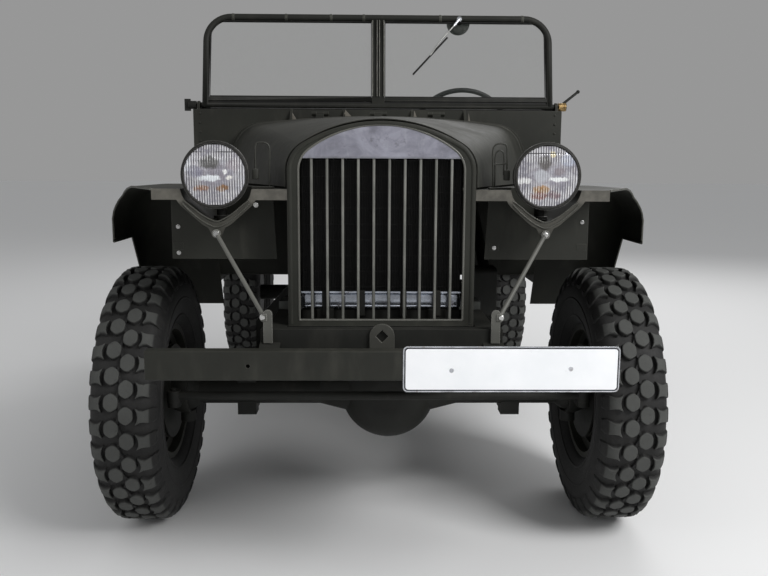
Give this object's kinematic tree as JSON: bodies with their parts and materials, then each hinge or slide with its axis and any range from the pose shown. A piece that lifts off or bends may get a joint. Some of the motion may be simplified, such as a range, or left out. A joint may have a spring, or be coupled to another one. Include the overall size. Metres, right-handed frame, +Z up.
{
  "type": "open field car",
  "caption": "Open light four-wheel-drive field car with flared bonnet, barred grille, flat fenders, folding windscreen, open body and a spare wheel at the rear.",
  "frame": {"origin": "on the ground under the middle of the car's length and width, between the plate and the spare wheel", "axes": "+X to the car's left, +Y to its rear, +Z up; the tyres stand on Z = 0"},
  "size_m": [1.69, 3.3499, 1.7022],
  "materials": {
    "body_paint": "flat",
    "frame_paint": "flat",
    "grille_metal": "worn",
    "engine_paint": "oily",
    "radiator_metal": "worn",
    "exhaust_steel": "rusty",
    "lamp_bowl": "flat",
    "lens_glass": "fluted",
    "pane_glass": "clear",
    "plate_white": "satin",
    "tail_red": "gloss",
    "wheel_black": "worn",
    "canvas": "worn",
    "tyre": "dusty"
  },
  "bodies": {
    "chassis": {"front_fenders": "body_paint", "cowl": "body_paint", "body_sides": "body_paint", "rear_panel": "body_paint", "wheel_boxes": "body_paint", "body_floor": "body_paint", "gearbox_hump": "body_paint", "toe_board": "body_paint", "radiator_shell": "body_paint", "front_bumper": "body_paint", "instrument_panel": "body_paint", "rear_bench": "body_paint", "spare_carrier": "body_paint", "spare_rim": "body_paint", "seat_frames": "body_paint", "frame": "frame_paint", "spring_hangers": "frame_paint", "springs": "frame_paint", "front_axle": "frame_paint", "rear_axle": "frame_paint", "propeller_shafts": "frame_paint", "crank_guide": "frame_paint", "fender_braces": "frame_paint", "tow_hitch": "frame_paint", "pedals_and_levers": "frame_paint", "steering_column": "frame_paint", "grille": "grille_metal", "engine": "engine_paint", "gearbox": "engine_paint", "radiator": "radiator_metal", "exhaust": "exhaust_steel", "headlamps": "lamp_bowl", "headlamp_lenses": "lens_glass", "number_plate": "plate_white", "tail_lamp": "tail_red", "seat_cushions": "canvas", "spare_tyre": "tyre"},
    "bonnet": {"bonnet": "body_paint"},
    "windscreen": {"windscreen_frame": "body_paint", "windscreen_glass": "pane_glass", "wiper": "frame_paint", "screen_clamps": "frame_paint"},
    "steering_wheel": {"steering_wheel": "wheel_black"},
    "knuckle_left": {"knuckle_left": "frame_paint"},
    "knuckle_right": {"knuckle_right": "frame_paint"},
    "tie_rod": {"tie_rod": "frame_paint"},
    "wheel_front_left": {"tyre_front_left": "tyre", "rim_front_left": "body_paint"},
    "wheel_front_right": {"tyre_front_right": "tyre", "rim_front_right": "body_paint"},
    "wheel_rear_left": {"tyre_rear_left": "tyre", "rim_rear_left": "body_paint"},
    "wheel_rear_right": {"tyre_rear_right": "tyre", "rim_rear_right": "body_paint"}
  },
  "joints": [
    {"name": "steer_left", "type": "hinge", "parent": "chassis", "child": "knuckle_left", "pos_m": [0.62, -0.995, 0.402], "axis": [0, 0, 1], "range_deg": [-24, 24]},
    {"name": "steer_right", "type": "hinge", "parent": "chassis", "child": "knuckle_right", "pos_m": [-0.62, -0.995, 0.402], "axis": [0, 0, 1], "range_deg": [-24, 24]},
    {"name": "tie_rod_swing", "type": "hinge", "parent": "knuckle_left", "child": "tie_rod", "pos_m": [0.62, -1.18, 0.436], "axis": [0, 0, 1], "range_deg": [-24, 24]},
    {"name": "steering_wheel_turn", "type": "hinge", "parent": "chassis", "child": "steering_wheel", "pos_m": [0.35, -0.065, 1.266], "axis": [0, 0.866, 0.5], "range_deg": [-384, 384]},
    {"name": "wheel_spin_front_left", "type": "hinge", "parent": "knuckle_left", "child": "wheel_front_left", "pos_m": [0.723, -0.995, 0.402], "axis": [1, 0, 0], "continuous": true},
    {"name": "wheel_spin_front_right", "type": "hinge", "parent": "knuckle_right", "child": "wheel_front_right", "pos_m": [-0.723, -0.995, 0.402], "axis": [1, 0, 0], "continuous": true},
    {"name": "wheel_spin_rear_left", "type": "hinge", "parent": "chassis", "child": "wheel_rear_left", "pos_m": [0.723, 1.105, 0.402], "axis": [1, 0, 0], "continuous": true},
    {"name": "wheel_spin_rear_right", "type": "hinge", "parent": "chassis", "child": "wheel_rear_right", "pos_m": [-0.723, 1.105, 0.402], "axis": [1, 0, 0], "continuous": true},
    {"name": "windscreen_fold", "type": "hinge", "parent": "chassis", "child": "windscreen", "pos_m": [0, -0.43, 1.349], "axis": [-1, 0, 0], "range_deg": [-100, 0]},
    {"name": "bonnet_open", "type": "hinge", "parent": "chassis", "child": "bonnet", "pos_m": [0, -0.493, 1.316], "axis": [-1, 0, 0], "range_deg": [0, 60]}
  ],
  "couplings": [
    {"joint": "steer_right", "follows": "steer_left", "ratio": 1},
    {"joint": "tie_rod_swing", "follows": "steer_left", "ratio": -1},
    {"joint": "steering_wheel_turn", "follows": "steer_left", "ratio": 16}
  ]
}
